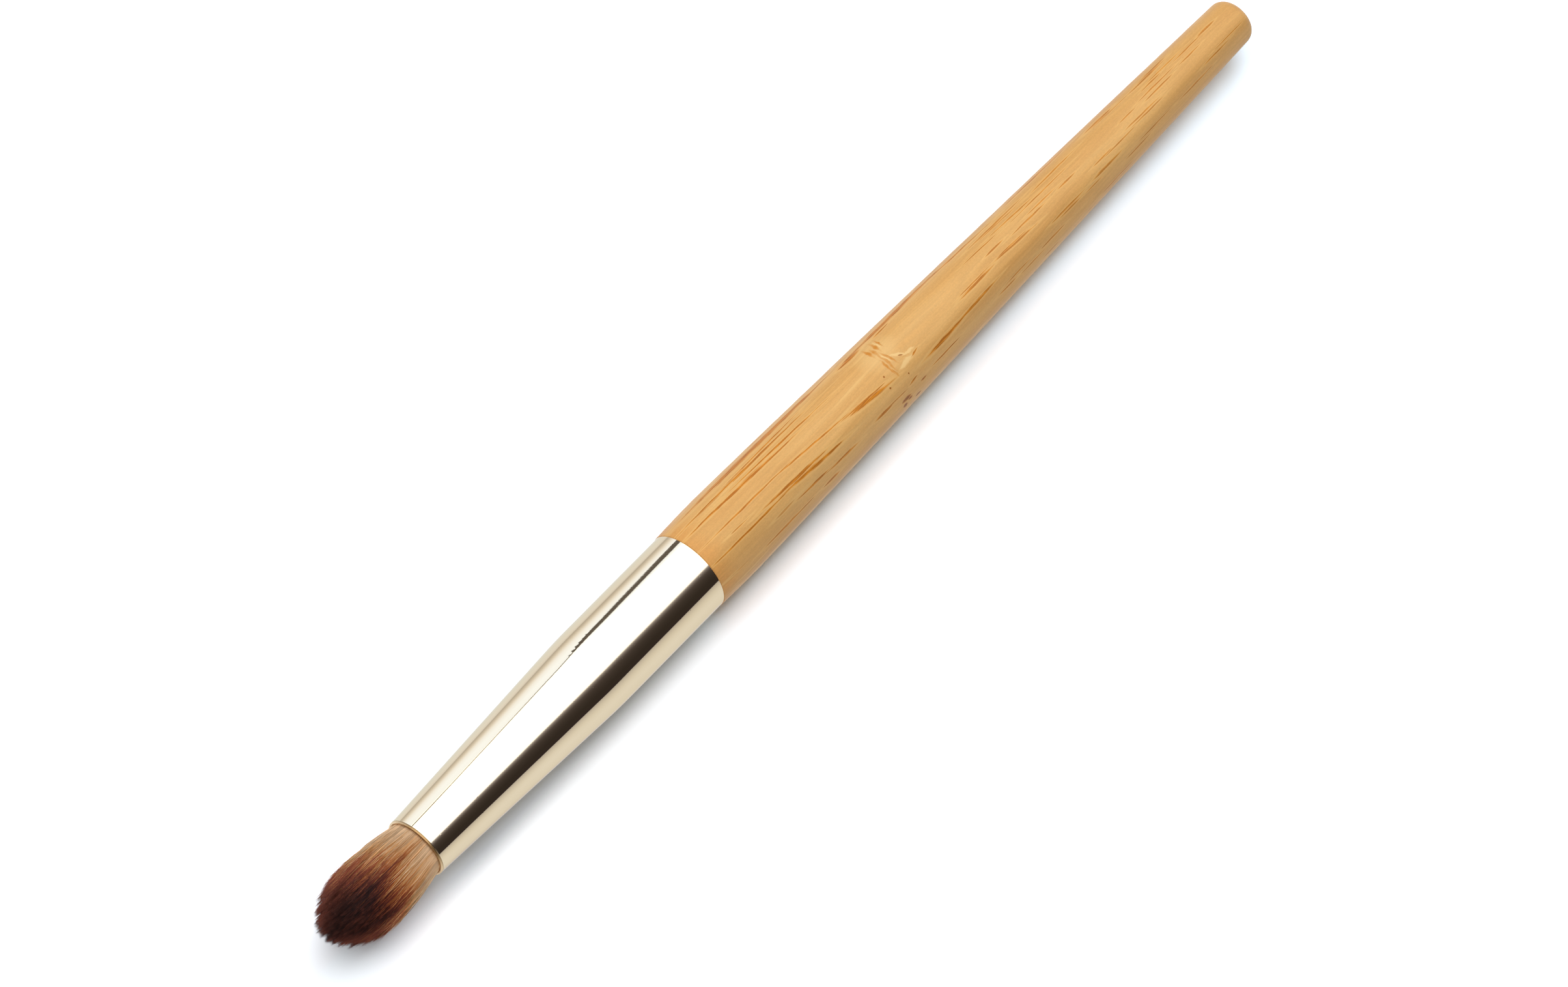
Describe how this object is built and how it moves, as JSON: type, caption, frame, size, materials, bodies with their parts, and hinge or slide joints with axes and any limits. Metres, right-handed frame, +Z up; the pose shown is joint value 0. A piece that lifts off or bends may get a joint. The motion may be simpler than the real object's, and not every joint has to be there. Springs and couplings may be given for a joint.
{
  "type": "eyeshadow brush",
  "caption": "Round eyeshadow brush with a soft domed tuft, a polished tapered metal ferrule and a slender bamboo handle, for laying on and blending eye make-up.",
  "frame": {"origin": "on the table plane, below the middle of the brush's length", "axes": "+X along the brush from the hair's tip to the handle's end, +Z up, with the brush lying on its side and its axis level"},
  "size_m": [0.1634, 0.0108, 0.0108],
  "materials": {
    "bamboo": "satin lacquer over bamboo",
    "polished_metal": "mirror polished, pale champagne",
    "hair": "soft synthetic filament, tan at the roots and dark at the tips",
    "thread": "waxed thread",
    "resin": "cured casting resin",
    "wood_glue": "cured glue"
  },
  "bodies": {
    "root": {"handle": "bamboo", "ferrule": "polished_metal", "bristles": "hair", "binding_thread": "thread", "root_glue": "resin", "tenon_glue": "wood_glue"}
  },
  "joints": []
}
